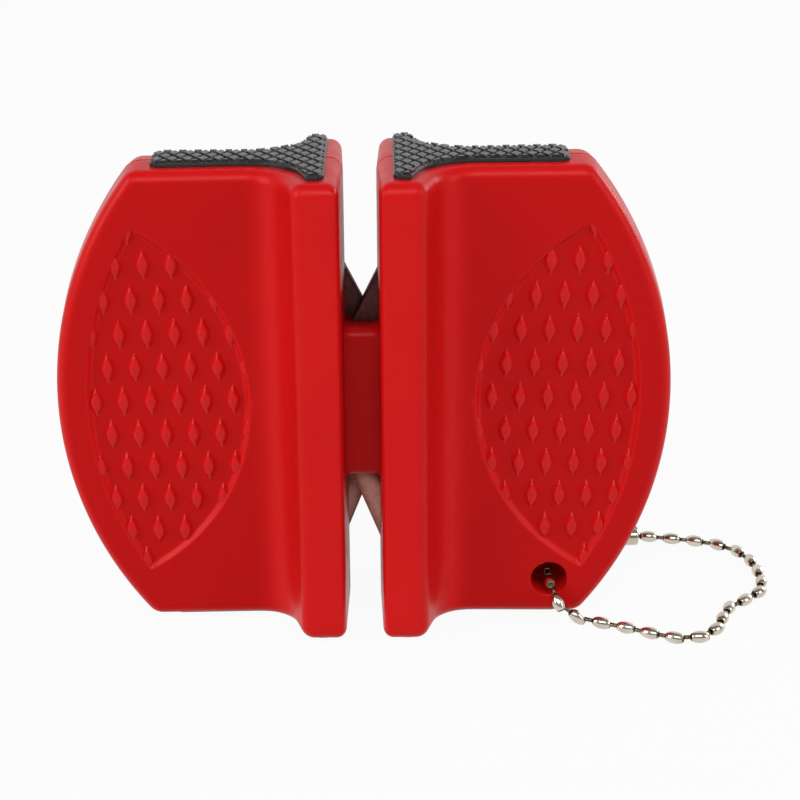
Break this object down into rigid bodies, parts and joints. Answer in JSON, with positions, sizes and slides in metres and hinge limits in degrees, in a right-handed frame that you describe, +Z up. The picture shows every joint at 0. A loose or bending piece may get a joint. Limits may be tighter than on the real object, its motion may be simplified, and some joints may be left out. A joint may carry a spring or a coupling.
{
  "type": "pocket knife sharpener",
  "caption": "Winged pocket knife sharpener with a crossed carbide notch at one end, a crossed ceramic notch at the other, rubber end pads and a bead chain.",
  "frame": {"origin": "on the standing surface, under the middle of the body without its chain", "axes": "+X across the two wings to the side with the chain, +Y from the front shell to the rear one along the sharpening slot, +Z up to the carbide notch"},
  "size_m": [0.0779, 0.0265, 0.0514],
  "materials": {
    "red_shell": "glossy moulded plastic",
    "rubber_pad": "matt knurled rubber",
    "carbide": "dark sintered carbide",
    "ceramic": "matt unglazed ceramic",
    "chain": "bright nickel plate"
  },
  "bodies": {
    "sharpener": {"front_shell": "red_shell", "rear_shell": "red_shell", "left_carbide_blade": "carbide", "right_carbide_blade": "carbide", "left_ceramic_rod": "ceramic", "right_ceramic_rod": "ceramic", "left_top_pad": "rubber_pad", "right_top_pad": "rubber_pad", "left_bottom_pad": "rubber_pad", "right_bottom_pad": "rubber_pad"},
    "chain": {"chain_bead_01": "chain", "chain_bead_02": "chain", "chain_bead_03": "chain", "chain_bead_04": "chain", "chain_bead_05": "chain", "chain_bead_06": "chain", "chain_bead_07": "chain", "chain_bead_08": "chain", "chain_bead_09": "chain", "chain_bead_10": "chain", "chain_bead_11": "chain", "chain_bead_12": "chain", "chain_bead_13": "chain", "chain_bead_14": "chain", "chain_bead_15": "chain", "chain_bead_16": "chain", "chain_bead_17": "chain", "chain_bead_18": "chain", "chain_bead_19": "chain", "chain_bead_20": "chain", "chain_bead_21": "chain", "chain_bead_22": "chain", "chain_bead_23": "chain", "chain_bead_24": "chain", "chain_bead_25": "chain", "chain_bead_26": "chain", "chain_bead_27": "chain", "chain_bead_28": "chain", "chain_bead_29": "chain", "chain_bead_30": "chain", "chain_bead_31": "chain"},
    "clasp": {"chain_clasp": "chain"}
  },
  "joints": [
    {"name": "chain_swing", "type": "hinge", "parent": "sharpener", "child": "chain", "pos_m": [0.02, 0, 0.005], "axis": [0, -1, 0], "range_deg": [-80, 50]},
    {"name": "clasp_swivel", "type": "hinge", "parent": "chain", "child": "clasp", "pos_m": [0.0294, 0.0145, 0.0012], "axis": [0.9996, 0.0281, 0.0013], "continuous": true}
  ]
}
